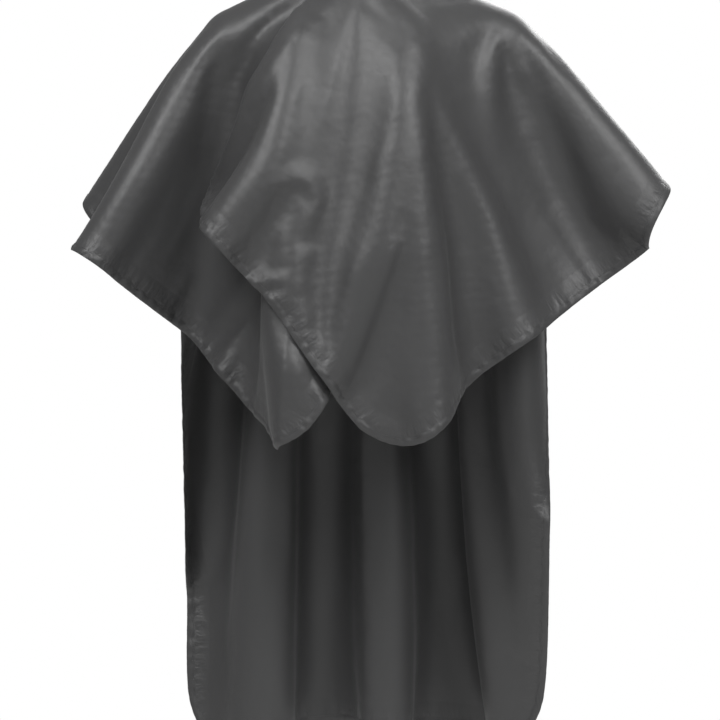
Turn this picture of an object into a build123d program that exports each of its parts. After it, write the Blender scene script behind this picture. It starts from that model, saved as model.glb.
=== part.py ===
"""Barber cape, hanging from its closed neckband as it does on a wearer.

Origin: centre of the neck opening, half way up the neckband. +Z is up, the wearer
faces +Y, and the overlapping flaps that close the cape at the back face -Y.
The cloth is one cut sheet of thin taffeta. It is built here as plain walls that fill
the space its folds take, parted where one region moves or overlaps another.
Millimetres and degrees.
"""
import os
from math import cos, radians, sin

from build123d import *

# ---- neckband -----------------------------------------------------------
neck_radius = 62.0          # inside of the closed neckband
band_height = 30.0
band_thickness = 3.0        # two walls of the folded cover, with the stiffener between
cover_wall = 0.8
stiffener_thickness = 0.6
stiffener_play = 0.05
stiffener_hem = 1.0         # the stiffener stops short of the band's open lower edge
band_low = -band_height / 2
band_high = band_height / 2
band_outer = neck_radius + band_thickness

stitch_count = 96
stitch_share = 0.7          # of each stitch's pitch that is thread
stitch_thickness = 0.4
stitch_height = band_low + 3.0

# ---- neck closure: angles run from the wearer's front through the right side
overlap_inner = band_outer + 0.7
overlap_thickness = 2.5
overlap_low = -8.0
overlap_high = 12.0
overlap_start = 150.0
overlap_end = 226.5
tab_start = 229.5
tab_end = 258.0

first_snap = 242.5
snap_pitch = 21.5
snap_count = 4
snap_height = (overlap_low + overlap_high) / 2
flange_radius = 4.5
flange_thickness = 0.5
post_radius = 1.7
post_height = 1.7
socket_radius = 4.4
socket_bore_radius = 2.2
socket_height = 1.9
cap_radius = 6.2
cap_thickness = 1.0
prong_radius = 1.0

# ---- care label ---------------------------------------------------------
label_width = 26.0
label_length = 42.0
label_thickness = 0.4
label_face = neck_radius + 2.0
label_top = band_low - 13.0

# ---- cloth --------------------------------------------------------------
wall = 8.0                  # depth that the soft folds of one region take
layer = 3.0                 # depth of each of the two flaps where they overlap
layer_gap = 2.0
shoulder_drop = 0.9         # share of an inset that lowers the surface over the shoulders
hem_width = 10.0

yoke_bottom = -100.0        # the shoulder yoke ends and the hanging regions begin
panel_half = 240.0          # half width of the front panel, where the side drapes begin
peak_half = 392.0           # where the side hem leaves the arm
peak_height = -390.0
hem_low = -1160.0
reach = 440.0               # clears the drape in every level direction

# Outer surface of the drape: height, half width, depth behind and before the neck
shoulder_sections = [
    (band_low, 70.0, 70.0, 70.0),
    (-45.0, 140.0, 92.0, 90.0),
    (-78.0, 208.0, 112.0, 110.0),
]
hanging_sections = [
    (-110.0, 230.0, 122.0, 120.0),
    (peak_height, peak_half, 150.0, 160.0),
    (-660.0, peak_half, 185.0, 190.0),
    (hem_low, peak_half, 215.0, 225.0),
]

# Outlines in the XZ plane, each a list of (x, z, corner radius)
side_elbow = (panel_half, -500.0, 0)
top_flap_edge = [
    (-94.0, -85.0, 0),
    (-222.0, -337.0, 50.0),
    (40.0, -665.0, 55.0),
    (145.0, -560.0, 0),
    side_elbow,
    (reach, -370.0, 0),
    (reach, -85.0, 0),
]
under_flap_edge = [
    (94.0, -85.0, 0),
    (205.0, -337.0, 50.0),
    (-100.0, -655.0, 55.0),
    (-160.0, -598.0, 0),
    (-panel_half, -500.0, 0),
    (-reach, -370.0, 0),
    (-reach, -85.0, 0),
]
front_edge = [
    (-panel_half, 0, 0),
    (-panel_half, -1095.0, 60.0),
    (0, -1045.0, 0),
    (panel_half, -1095.0, 60.0),
    (panel_half, 0, 0),
]
side_edge = [
    side_elbow,
    (peak_half + hem_width, peak_height - hem_width, 0),
    (reach, yoke_bottom, 0),
    (panel_half, yoke_bottom, 0),
]
side_hem_rise = 13.0        # a hem's width measured straight up, on the sloping side hem

# The free part of the top flap swings about a line down the back
fold_top = (-78.0, -60.0)
fold_bottom = (-22.0, -620.0)
fold_gap = 4.0
fold_head = 4.0             # room between the free part and the yoke above it

os.makedirs("parts", exist_ok=True)


def save(piece, name):
    """Label a finished sub-part and write its STEP file."""
    piece.part.label = name
    export_step(piece.part, f"parts/{name}.step")


def drape_form(inset):
    """Solid that fills the drape, inset from its outer surface."""
    with BuildPart() as form:
        lowered = [(z - inset * shoulder_drop, a, b, f) for z, a, b, f in shoulder_sections]
        for height, half_width, behind, before in lowered + hanging_sections:
            with BuildSketch(Plane.XY.offset(height)):
                with Locations((0, (before - behind) / 2)):
                    Ellipse(half_width - inset, (before + behind) / 2 - inset)
        loft(ruled=True)
        if inset > 0:
            with BuildSketch(Plane.XY.offset(band_low)):
                Circle(shoulder_sections[0][1] - inset)
            extrude(amount=-inset * shoulder_drop)
    return form.part


def outline(edge):
    """Flat outline as (x, z), with the given corners rounded."""
    with BuildSketch() as face:
        with BuildLine():
            Polyline(*[(x, z) for x, z, _ in edge], close=True)
        make_face()
        for x, z, radius in edge:
            if radius > 0:
                fillet(face.vertices().sort_by_distance(Vector(x, z, 0))[0], radius=radius)
    return face.sketch


def window(x_low, x_high, z_low, z_high):
    """Rectangular outline by its limits."""
    return outline([(x_low, z_low, 0), (x_high, z_low, 0), (x_high, z_high, 0), (x_low, z_high, 0)])


def mirrored(edge):
    """The same outline on the other side of the cape."""
    return [(-x, z, radius) for x, z, radius in edge]


def block(faces, near, far, without=None):
    """Solid that carries what several outlines share from one depth to another along Y."""
    with BuildPart() as body:
        with BuildSketch(Plane.XZ.offset(-near)):
            add(faces[0])
            for face in faces[1:]:
                add(face, mode=Mode.INTERSECT)
            if without:
                add(without, mode=Mode.SUBTRACT)
        extrude(amount=far - near, dir=(0, 1, 0))
    return body.part


def fold_x(height):
    """Where the fold line of the top flap stands at a height."""
    share = (height - fold_top[1]) / (fold_bottom[1] - fold_top[1])
    return fold_top[0] + share * (fold_bottom[0] - fold_top[0])


def beside_fold(side):
    """Outline on one side of the fold line, -1 for the free part and 1 for the fixed part."""
    edge = [(fold_x(z) + side * fold_gap / 2, z, 0) for z in (0, hem_low)]
    return outline(edge + [(side * reach, hem_low, 0), (side * reach, 0, 0)])


def band_plane(angle, radius, height=0.0):
    """Plane that faces outwards from the neck axis at an angle."""
    out = (sin(radians(angle)), cos(radians(angle)), 0)
    centre = (radius * out[0], radius * out[1], height)
    return Plane(origin=centre, x_dir=(0, 0, 1), z_dir=out)


def band_arc(start, end, inner, outer, low, high):
    """Upright strip that follows the neckband between two angles."""
    with BuildPart() as strip:
        with BuildSketch(Plane.XY.offset(low)):
            with BuildLine():
                for radius in (inner, outer):
                    CenterArc((0, 0), radius, 90 - end, end - start)
                for angle in (start, end):
                    out = (sin(radians(angle)), cos(radians(angle)))
                    Line((inner * out[0], inner * out[1]), (outer * out[0], outer * out[1]))
            make_face()
        extrude(amount=high - low)
    return strip.part


snap_angles = [first_snap + k * snap_pitch for k in range(snap_count)]
overlap_outer = overlap_inner + overlap_thickness
stiffener_outer = band_outer - cover_wall - stiffener_play

# ---- walls of the drape, and the outlines that part them ----------------
with BuildPart() as full_wall:
    add(drape_form(0))
    add(drape_form(wall), mode=Mode.SUBTRACT)

with BuildPart() as top_wall:
    add(drape_form(0))
    add(drape_form(layer), mode=Mode.SUBTRACT)

with BuildPart() as under_wall:
    add(drape_form(layer + layer_gap))
    add(drape_form(wall), mode=Mode.SUBTRACT)

top_face = outline(top_flap_edge)
top_inside = offset(top_face, -hem_width)
under_face = outline(under_flap_edge)
under_inside = offset(under_face, -hem_width)
front_face = outline(front_edge)
front_inside = offset(front_face, -hem_width)
below_yoke = window(-panel_half, panel_half, hem_low, yoke_bottom)
free_room = window(-panel_half, panel_half, hem_low, yoke_bottom - fold_head)

# ---- cloth regions ------------------------------------------------------
with BuildPart() as shoulder_yoke:
    add(full_wall.part)
    add(block([window(-reach, reach, yoke_bottom, 0)], -reach, reach), mode=Mode.INTERSECT)
save(shoulder_yoke, "shoulder_yoke")

with BuildPart() as front_panel:
    add(full_wall.part)
    add(block([front_inside, below_yoke], 0, reach), mode=Mode.INTERSECT)
save(front_panel, "front_panel")

with BuildPart() as front_hem:
    add(full_wall.part)
    add(block([front_face, below_yoke], 0, reach, front_inside), mode=Mode.INTERSECT)
save(front_hem, "front_hem")

with BuildPart() as under_flap:
    add(under_wall.part)
    add(block([under_inside, below_yoke], -reach, 0), mode=Mode.INTERSECT)
save(under_flap, "under_flap")

with BuildPart() as under_flap_hem:
    add(under_wall.part)
    add(block([under_face, below_yoke], -reach, 0, under_inside), mode=Mode.INTERSECT)
save(under_flap_hem, "under_flap_hem")

with BuildPart() as right_back_panel:
    add(top_wall.part)
    add(block([top_inside, below_yoke, beside_fold(1)], -reach, 0), mode=Mode.INTERSECT)
save(right_back_panel, "right_back_panel")

with BuildPart() as right_back_hem:
    add(top_wall.part)
    add(block([top_face, below_yoke, beside_fold(1)], -reach, 0, top_inside), mode=Mode.INTERSECT)
save(right_back_hem, "right_back_hem")

with BuildPart() as top_flap:
    add(top_wall.part)
    add(block([top_inside, free_room, beside_fold(-1)], -reach, 0), mode=Mode.INTERSECT)
save(top_flap, "top_flap")

with BuildPart() as top_flap_hem:
    add(top_wall.part)
    add(block([top_face, free_room, beside_fold(-1)], -reach, 0, top_inside), mode=Mode.INTERSECT)
save(top_flap_hem, "top_flap_hem")

# Each side drape wraps over one arm: a front and a back wall that meet along the arm
for side_name, turn in (("right", list), ("left", mirrored)):
    raised = [(x, z + side_hem_rise, radius) for x, z, radius in side_edge[:2]] + side_edge[2:]
    side_face = outline(turn(side_edge))
    side_inside = outline(turn(raised))

    with BuildPart() as side_drape:
        add(full_wall.part)
        add(block([side_inside], -reach, reach), mode=Mode.INTERSECT)
    save(side_drape, f"{side_name}_drape")

    with BuildPart() as side_hem:
        add(full_wall.part)
        add(block([side_face], -reach, reach, side_inside), mode=Mode.INTERSECT)
    save(side_hem, f"{side_name}_side_hem")

# ---- neckband: one folded strip of cloth round a stiffener --------------
with BuildPart() as neckband:
    with BuildSketch(Plane.XY.offset(band_low)):
        Circle(band_outer)
        Circle(neck_radius, mode=Mode.SUBTRACT)
    extrude(amount=band_height)
    with BuildSketch(Plane.XY.offset(band_low)):
        Circle(band_outer - cover_wall)
        Circle(neck_radius + cover_wall, mode=Mode.SUBTRACT)
    extrude(amount=band_height - cover_wall, mode=Mode.SUBTRACT)
    for angle in snap_angles:
        with BuildSketch(band_plane(angle, band_outer - 2 * cover_wall, snap_height)):
            Circle(prong_radius)
        extrude(amount=band_thickness, mode=Mode.SUBTRACT)
save(neckband, "neckband")

with BuildPart() as neckband_stiffener:
    with BuildSketch(Plane.XY.offset(band_low + stiffener_hem)):
        Circle(stiffener_outer)
        Circle(stiffener_outer - stiffener_thickness, mode=Mode.SUBTRACT)
    extrude(amount=band_height - stiffener_hem - cover_wall - stiffener_play)
    for angle in snap_angles:
        with BuildSketch(band_plane(angle, neck_radius, snap_height)):
            Circle(prong_radius)
        extrude(amount=band_thickness, mode=Mode.SUBTRACT)
save(neckband_stiffener, "neckband_stiffener")

with BuildPart() as neckband_stitching:
    pitch = 360 / stitch_count
    for k in range(stitch_count):
        add(
            band_arc(k * pitch, (k + stitch_share) * pitch, band_outer, band_outer + stitch_thickness,
                     stitch_height, stitch_height + stitch_thickness)
        )
save(neckband_stitching, "neckband_stitching")

# ---- the band's outer end and its tab, which snap onto the inner end ----
with BuildPart() as neckband_overlap:
    add(band_arc(overlap_start, overlap_end, overlap_inner, overlap_outer, overlap_low, overlap_high))
    fillet(neckband_overlap.edges().filter_by(Axis.Z).sort_by(Axis.X)[-2:], radius=1.0)
save(neckband_overlap, "neckband_overlap")

socket_pocket = socket_height + stiffener_play
with BuildPart() as closure_tab:
    add(band_arc(tab_start, tab_end, overlap_inner, overlap_outer, overlap_low, overlap_high))
    tip = band_plane(tab_end, overlap_inner).origin
    tip_corners = closure_tab.edges().filter_by(lambda e: e.length < overlap_thickness * 1.2)
    fillet(tip_corners.sort_by_distance(tip)[:2], radius=6.0)
    with BuildSketch(band_plane(first_snap, overlap_inner - 1, snap_height)):
        Circle(socket_radius + stiffener_play)
    extrude(amount=1 + socket_pocket, mode=Mode.SUBTRACT)
    with BuildSketch(band_plane(first_snap, overlap_inner, snap_height)):
        Circle(prong_radius + stiffener_play)
    extrude(amount=2 * overlap_thickness, mode=Mode.SUBTRACT)
save(closure_tab, "closure_tab")

with BuildPart() as snap_socket:
    with BuildSketch(band_plane(first_snap, overlap_inner, snap_height)):
        Circle(socket_radius)
        Circle(socket_bore_radius, mode=Mode.SUBTRACT)
    extrude(amount=socket_height)
save(snap_socket, "snap_socket")

with BuildPart() as snap_cap:
    with BuildSketch(band_plane(first_snap, overlap_outer, snap_height)):
        Circle(cap_radius)
    extrude(amount=cap_thickness)
    fillet(snap_cap.edges().group_by(SortBy.LENGTH)[-1], radius=cap_thickness * 0.4)
    with BuildSketch(band_plane(first_snap, overlap_outer, snap_height)):
        Circle(prong_radius)
    extrude(amount=-(overlap_thickness - socket_height))
save(snap_cap, "snap_cap")

with BuildPart() as snap_studs:
    for angle in snap_angles:
        with BuildSketch(band_plane(angle, band_outer, snap_height)):
            Circle(flange_radius)
        extrude(amount=flange_thickness)
        with BuildSketch(band_plane(angle, band_outer, snap_height)):
            Circle(post_radius)
        extrude(amount=post_height)
save(snap_studs, "snap_studs")

with BuildPart() as snap_stud_backs:
    back_base = neck_radius + cover_wall
    for angle in snap_angles:
        with BuildSketch(band_plane(angle, back_base + stiffener_play, snap_height)):
            Circle(flange_radius)
        extrude(amount=flange_thickness)
        with BuildSketch(band_plane(angle, back_base + stiffener_play, snap_height)):
            Circle(prong_radius)
        extrude(amount=band_outer - back_base - stiffener_play)
save(snap_stud_backs, "snap_stud_backs")

# ---- care label, sewn by its top edge inside the front of the neck ------
with BuildPart() as care_label:
    with BuildSketch(Plane.XZ.offset(-label_face)):
        with Locations((0, label_top - label_length / 2)):
            Rectangle(label_width, label_length)
    extrude(amount=-label_thickness)
save(care_label, "care_label")
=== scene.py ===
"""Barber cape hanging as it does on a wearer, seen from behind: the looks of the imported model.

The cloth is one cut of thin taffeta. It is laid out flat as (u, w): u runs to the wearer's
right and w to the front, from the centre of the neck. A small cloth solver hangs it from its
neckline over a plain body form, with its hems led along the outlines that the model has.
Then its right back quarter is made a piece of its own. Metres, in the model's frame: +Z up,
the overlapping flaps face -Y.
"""
import math

import bpy
import numpy as np
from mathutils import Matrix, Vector, geometry, noise
from mathutils.bvhtree import BVHTree


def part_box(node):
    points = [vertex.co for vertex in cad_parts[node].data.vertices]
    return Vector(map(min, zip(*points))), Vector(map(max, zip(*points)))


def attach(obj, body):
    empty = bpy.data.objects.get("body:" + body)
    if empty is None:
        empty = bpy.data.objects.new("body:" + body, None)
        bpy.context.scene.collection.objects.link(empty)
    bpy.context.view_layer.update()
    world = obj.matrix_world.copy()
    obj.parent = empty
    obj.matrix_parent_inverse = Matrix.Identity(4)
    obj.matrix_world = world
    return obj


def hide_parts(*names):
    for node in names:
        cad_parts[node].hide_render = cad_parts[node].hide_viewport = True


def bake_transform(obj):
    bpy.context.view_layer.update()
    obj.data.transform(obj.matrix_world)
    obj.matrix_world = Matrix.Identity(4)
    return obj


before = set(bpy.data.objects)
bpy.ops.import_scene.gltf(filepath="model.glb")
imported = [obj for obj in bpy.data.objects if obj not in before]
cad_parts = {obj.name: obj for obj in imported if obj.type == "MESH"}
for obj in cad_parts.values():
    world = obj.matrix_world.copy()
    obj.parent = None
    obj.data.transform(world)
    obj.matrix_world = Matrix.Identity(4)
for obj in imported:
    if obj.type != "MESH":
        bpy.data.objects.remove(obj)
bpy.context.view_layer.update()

# ---- sizes taken from the model -----------------------------------------
band_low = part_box("neckband")[0].z
band_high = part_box("neckband")[1].z
band_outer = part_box("neckband")[1].x
MM = 0.001
band_wall = 3.0 * MM
band_inner = band_outer - band_wall

# ---- the cut: half widths along u, depths along w -----------------------
CUT_SIDE = 0.5894           # half width over the arms
CUT_REAR = 0.5107           # from the centre of the neck to the rear edge
CUT_FRONT = 1.100           # and to the front edge
FRONT_SIDE = 0.4007         # half width of the front panel
SIDE_TURN = 0.0291          # the side edge turns in at this w
FRONT_TURN = 0.3005         # and has come in to the front panel at this w
SLIT_RADIUS = 0.0889        # corners of the two flaps, at the slit
REAR_RADIUS = 0.08          # their outer corners, at the rear
FRONT_RADIUS = 0.100        # bottom corners of the front panel
TURN_RADIUS = 0.012         # where the side edge turns
SLIT_HALF = 0.0008          # half the slit's width
HOLE_LENGTH = 0.55          # round the neck hole, for the number of points there

# ---- the neckline: where the closed band carries the cloth --------------
RING = band_outer - 1.5 * MM
RING_Z = band_low + 0.2 * MM
SEAM_RADIUS = band_outer - 1.85 * MM
SEAM_Z = band_low + 1.6 * MM
WRAP_RIGHT = 55.5316        # degrees that each flap runs past the back of the neck
WRAP_LEFT = 54.1167
WRAP_POWER = 2.7149         # how late, towards the slit, the cut is drawn in to do so

# ---- cloth --------------------------------------------------------------
COARSE = 0.032              # spacing of the points of the first and the second run
FINE = 0.016
LAYER_GAP = 8 * MM          # between the top flap and what is under it
SELF_GAP = 10 * MM          # between any two points of one flap that meet
NEIGHBOURS = 2.2 * 0.012    # nearer than this in the cut, points don't count as meeting
SKIN_GAP = 5 * MM           # between the cloth and the body form
SHEET_THICKNESS = 0.5 * MM
GRAVITY = 9.81
AIR_DRAG = 1.5              # share of its speed that the cloth loses in a second
TOP_SPEED = 3.0
BODY_FRICTION = 0.5
BEND_HOLD = 0.0718          # how strongly the cloth resists a sharp bend, and a wide one
WIDE_HOLD = 0.1922
WIDE_LEAST = 0.90           # a wide bend may bring points this near, as a share of their distance
STRETCH = 1.005             # how far a point may hang from the neckline, to its depth in the cut
LAYER_DRAG = 0.2992         # friction between the two flaps
FLAP_LIFT = 23.8224 * MM    # the top flap starts this far outside the cone
LIFT_FROM, LIFT_FULL = math.radians(95), math.radians(125)
STARTING_FOLDS = 12         # shallow waves round the cone, which the first folds grow from
LEAD = 0.045                # how firmly the outlines lead the hems
LEAD_FROM = 0.2929          # seconds into the first run
LEAD_TIP = 0.1364           # how firmly the tips of the sleeves are led
LEAD_REACH = 0.05           # further off than this, the pull grows no more
FIRST_SECONDS, FIRST_RATE = 2.2, 500
SECOND_SECONDS, SECOND_RATE = 0.5, 1000
PAIR_TICKS = 6              # steps between two searches for points that come near each other

# Body form. Capsules: two ends, and a radius at each. What differs from side to side is keyed
# by side: 1 is the wearer's right, -1 the left. Hands and sleeve tips as (distance out, z)
HAND = 0.016                # radius at the hand
ARM_DEPTH = 0.0186          # the hands are this far before the neck
SHOULDERS = {1: 0.181, -1: 0.174}
HANDS = {1: (0.350, -0.381), -1: (0.364, -0.388)}
TIPS = {1: (0.381, -0.385), -1: (0.393, -0.390)}
CAPSULES = [((0, 0, 0.1), (0, 0, -0.05), 0.056, 0.060)]
for side in (-1, 1):
    shoulder = (side * SHOULDERS[side], 0, -0.109)
    hand = (side * HANDS[side][0], ARM_DEPTH, HANDS[side][1])
    CAPSULES.append(((side * 0.03, 0, -0.052), shoulder, 0.047, 0.045))
    CAPSULES.append((shoulder, hand, 0.045, HAND))
# Trunk: height, half width, depth before and behind the neck
TRUNK = np.array([
    (-0.86, 0.160, 0.100, 0.099),
    (-0.80, 0.175, 0.110, 0.119),
    (-0.65, 0.170, 0.110, 0.119),
    (-0.50, 0.145, 0.100, 0.089),
    (-0.38, 0.155, 0.115, 0.094),
    (-0.26, 0.165, 0.125, 0.104),
    (-0.16, 0.165, 0.105, 0.099),
    (-0.10, 0.150, 0.085, 0.084),
    (-0.055, 0.085, 0.050, 0.055),
])
TRUNK_POWER = 2.6

# Outlines that the hems follow, as (x, z)
TOP_HEM = np.array([
    (0.380, -0.390), (0.237, -0.499), (0.153, -0.556), (0.134, -0.572), (0.109, -0.618),
    (0.081, -0.645), (0.050, -0.653), (-0.019, -0.624), (-0.040, -0.593), (-0.100, -0.499),
    (-0.119, -0.462), (-0.175, -0.414), (-0.211, -0.371), (-0.220, -0.336), (-0.201, -0.286),
    (-0.175, -0.236), (-0.129, -0.156), (-0.094, -0.088),
])
UNDER_HEM = np.array([
    (-0.392, -0.390), (-0.240, -0.503), (-0.156, -0.602), (-0.105, -0.646), (-0.059, -0.627),
    (-0.046, -0.593), (-0.050, -0.560), (-0.025, -0.499), (0.012, -0.400), (0.035, -0.250),
    (0.050, -0.090),
])
PANEL_EDGE = 0.252          # the front panel's sides hang this far out
DEPTH_BEHIND = -0.19        # the cloth stays between these two in y
DEPTH_BEFORE = 0.20


# ---- drawing the cut ----------------------------------------------------
# In steps of the mesh: how far its rows are shifted, and how far its inner points keep from
# the edge and from the line down the middle
ROW_SHIFT, EDGE_CLEAR, SEAM_CLEAR = 0.29, 0.62, 0.4


def unit(v):
    return v / np.linalg.norm(v)


def rounded(corners, step):
    """Points along a path of (u, w, radius) corners, at most a step apart."""
    path = [np.array(corners[0][:2], float)]
    for before, corner, after in zip(corners, corners[1:], corners[2:]):
        a, p, b = (np.array(c[:2], float) for c in (before, corner, after))
        to_a, to_b = unit(a - p), unit(b - p)
        half = math.acos(to_a @ to_b) / 2
        if corner[2] == 0:
            path.append(p)
            continue
        centre = p + unit(to_a + to_b) * corner[2] / math.sin(half)
        first = p + to_a * corner[2] / math.tan(half) - centre
        last = p + to_b * corner[2] / math.tan(half) - centre
        turn = math.pi - 2 * half
        count = max(3, math.ceil(turn * corner[2] / step))
        for t in np.linspace(0, 1, count + 1):
            spoke = math.sin((1 - t) * turn) * first + math.sin(t * turn) * last
            path.append(centre + spoke / math.sin(turn))
    path.append(np.array(corners[-1][:2], float))
    out = [path[0]]
    for a, b in zip(path, path[1:]):
        pieces = max(1, round(np.linalg.norm(b - a) / step))
        out += [a + (b - a) * k / pieces for k in range(1, pieces + 1)]
    return np.array(out)


def wrap(angle):
    """How far the cone of the hanging cloth turns past an angle of the cut, and its rate."""
    share = np.abs(angle) / math.pi
    most = np.radians(np.where(angle > 0, WRAP_RIGHT, WRAP_LEFT))
    return most * share ** WRAP_POWER, 1 + most / math.pi * WRAP_POWER * share ** (WRAP_POWER - 1)


def neck_radius(angle):
    """Radius of the neck hole in the flat cut."""
    return RING * wrap(np.asarray(angle, float))[1]


def half_edge(side, step):
    """The cut's outer edge on one side, from the neck down the slit and round to the front."""
    corners = [
        (SLIT_HALF, -float(neck_radius(side * math.pi)), 0),
        (SLIT_HALF, -CUT_REAR, SLIT_RADIUS),
        (CUT_SIDE, -CUT_REAR, REAR_RADIUS),
        (CUT_SIDE, SIDE_TURN, TURN_RADIUS),
        (FRONT_SIDE, FRONT_TURN, TURN_RADIUS),
        (FRONT_SIDE, CUT_FRONT, FRONT_RADIUS),
        (0, CUT_FRONT, 0),
    ]
    return rounded([(side * u, w, radius) for u, w, radius in corners], step)


def cut_mesh(step):
    """Flat points and triangles of the cut, and its outer edge."""
    right, left = half_edge(1, step), half_edge(-1, step)
    turns = np.linspace(-math.pi, math.pi, max(16, int(HOLE_LENGTH / step)))
    radii = neck_radius(turns)
    hole = np.stack([radii * np.sin(turns), radii * np.cos(turns)], 1)
    edge = np.concatenate([right, left[-2::-1], hole[1:-1]])
    rows = []
    for j, w in enumerate(np.arange(-CUT_REAR, CUT_FRONT, step * math.sqrt(3) / 2)):
        us = np.arange(step, CUT_SIDE, step) - (0.5 * step if j % 2 else 0)
        rows += [(side * u, w + ROW_SHIFT * step) for side in (-1, 1) for u in us]
    inner = np.array(rows)
    inside = np.zeros(len(inner), bool)
    for (u1, w1), (u2, w2) in zip(edge, np.roll(edge, -1, 0)):
        crosses = (w1 > inner[:, 1]) != (w2 > inner[:, 1])
        inside ^= crosses & (inner[:, 0] < (u2 - u1) * (inner[:, 1] - w1) / (w2 - w1 + 1e-30) + u1)
    inner = inner[inside]
    near = np.min(np.hypot(inner[:, None, 0] - edge[:, 0], inner[:, None, 1] - edge[:, 1]), axis=1)
    inner = inner[(near > EDGE_CLEAR * step) & (np.abs(inner[:, 0]) > SEAM_CLEAR * step)]
    front_low = float(neck_radius(0.0))
    count = round((CUT_FRONT - front_low) / step)
    seam = np.array([(0, CUT_FRONT + (front_low - CUT_FRONT) * k / count) for k in range(1, count)])
    points = [Vector(p) for p in np.concatenate([edge, seam, inner])]
    n = len(edge)
    first, last = len(right) - 1, int(np.hypot(edge[:, 0], edge[:, 1] - front_low).argmin())
    chain = [first] + list(range(n, n + len(seam))) + [last]
    borders = [(i, (i + 1) % n) for i in range(n)]
    borders += list(zip(chain, chain[1:]))
    flat, _, faces, *_ = geometry.delaunay_2d_cdt(points, borders, [list(range(n))], 2, 1e-5)
    return np.array([tuple(p) for p in flat]), np.array([tuple(f) for f in faces]), edge


# ---- the cloth solver ---------------------------------------------------
def lengths(d):
    return np.sqrt(np.einsum("ij,ij->i", d, d)) + 1e-12


def units(d):
    return d / (np.linalg.norm(d, axis=1)[:, None] + 1e-12)


def raised(values, power):
    """Values to a power, in place: in a new array, the last digit can vary between runs."""
    return np.power(values, power, out=values)


def smooth(x, a, b):
    t = np.clip((x - a) / (b - a), 0, 1)
    return t * t * (3 - 2 * t)


def hang(flat):
    """Where flat points start: on a steep cone below the neckband, the right flap outside."""
    u, w = flat.T
    angle = np.arctan2(u, w)
    out = np.hypot(u, w) - neck_radius(angle)
    extra, rate = wrap(angle)
    turn = angle + np.sign(angle) * extra
    across = 1 / np.maximum(rate, 1.15)
    down = np.sqrt(1 - across * across)
    near = smooth(out, 0, 0.06)
    lift = (1.5 * MM + FLAP_LIFT * near) * smooth(turn, LIFT_FROM, LIFT_FULL)
    lift -= (1.5 * MM + 2 * MM * near) * smooth(-turn, LIFT_FROM, LIFT_FULL)
    radius = RING + out * across + lift * down
    height = RING_Z - out * down + lift * across
    height += 0.0002 * np.maximum(out - 0.15, 0) * np.cos(STARTING_FOLDS * turn + 5.24)
    return np.stack([radius * np.sin(turn), radius * np.cos(turn), height], 1)


class Links:
    """Pairs of points held at their flat distance, in groups where no point occurs twice.

    With least, a pair is only kept from coming nearer than that share of it.
    """

    def __init__(self, pairs, flat, stiffness, least=None):
        used, groups = {}, []
        for k, (i, j) in enumerate(pairs):
            busy = used.get(i, 0) | used.get(j, 0)
            colour = 0
            while busy >> colour & 1:
                colour += 1
            used[i] = used.get(i, 0) | 1 << colour
            used[j] = used.get(j, 0) | 1 << colour
            if len(groups) <= colour:
                groups.append([])
            groups[colour].append(k)
        pairs = np.array(pairs)
        self.groups = []
        for group in groups:
            i, j = pairs[group].T
            rest = np.hypot(*(flat[i] - flat[j]).T) * (least or 1)
            self.groups.append((i, j, rest))
        self.stiffness, self.least = stiffness, least

    def solve(self, x, free):
        for i, j, rest in self.groups:
            d = x[i] - x[j]
            length = lengths(d)
            excess = length - rest
            if self.least:
                excess = np.minimum(excess, 0)
            pull = (self.stiffness * excess / length / (free[i] + free[j] + 1e-9))[:, None] * d
            x[i] -= free[i][:, None] * pull
            x[j] += free[j][:, None] * pull


def find_links(flat, faces, step):
    """Pairs along the edges, across them, and a few points apart, where the cloth resists folding."""
    opposite = {}
    for a, b, c in faces.tolist():
        for i, j, k in ((a, b, c), (b, c, a), (c, a, b)):
            opposite.setdefault((min(i, j), max(i, j)), []).append(k)
    edges = list(opposite)
    across = [tuple(sorted(k)) for k in opposite.values() if len(k) == 2]
    beside = [set() for _ in flat]
    for i, j in edges:
        beside[i].add(j)
        beside[j].add(i)
    apart = 4 if step < 0.02 else 2
    far = set()
    for i in range(len(flat)):
        seen, ring = {i}, {i}
        for _ in range(apart):
            ring = set().union(*(beside[k] for k in ring)) - seen
            seen |= ring
        found = sorted(ring)
        for angle in (0, math.pi / 3, 2 * math.pi / 3):
            if not found:
                continue
            goal = flat[i] + apart * step * 0.93 * np.array([math.cos(angle), math.sin(angle)])
            miss = np.hypot(*(flat[found] - goal).T)
            k = int(miss.argmin())
            if miss[k] < 0.7 * step:
                far.add((min(i, found[k]), max(i, found[k])))
    return edges, across, sorted(far)


def stay_out(x, before, friction):
    """Moves points out of the body form, with friction against it."""
    for a, b, radius_a, radius_b in CAPSULES:
        a, b = np.array(a), np.array(b)
        d = b - a
        t = np.clip((x - a) @ d / (d @ d), 0, 1)
        away = x - a - t[:, None] * d
        length = lengths(away)
        depth = radius_a + (radius_b - radius_a) * t + SKIN_GAP - length
        k = np.flatnonzero(depth > 0)
        out = away[k] / length[k, None]
        x[k] += out * depth[k, None]
        drag(x, before, k, out, friction)
    k = np.flatnonzero((x[:, 2] > TRUNK[0, 0]) & (x[:, 2] < TRUNK[-1, 0]))
    width, front, back = (np.interp(x[k, 2], TRUNK[:, 0], TRUNK[:, c]) + SKIN_GAP for c in (1, 2, 3))
    depth = np.where(x[k, 1] > 0, front, back)
    share = raised(np.abs(x[k, 0]) / width, TRUNK_POWER)
    share = raised(share + raised(np.abs(x[k, 1]) / depth, TRUNK_POWER), 1 / TRUNK_POWER)
    k, share = k[share < 1], share[share < 1]
    x[k, :2] /= np.maximum(share, 0.2)[:, None]
    out = x[k] * [1, 1, 0]
    out /= np.linalg.norm(out, axis=1)[:, None] + 1e-9
    drag(x, before, k, out, friction)


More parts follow.
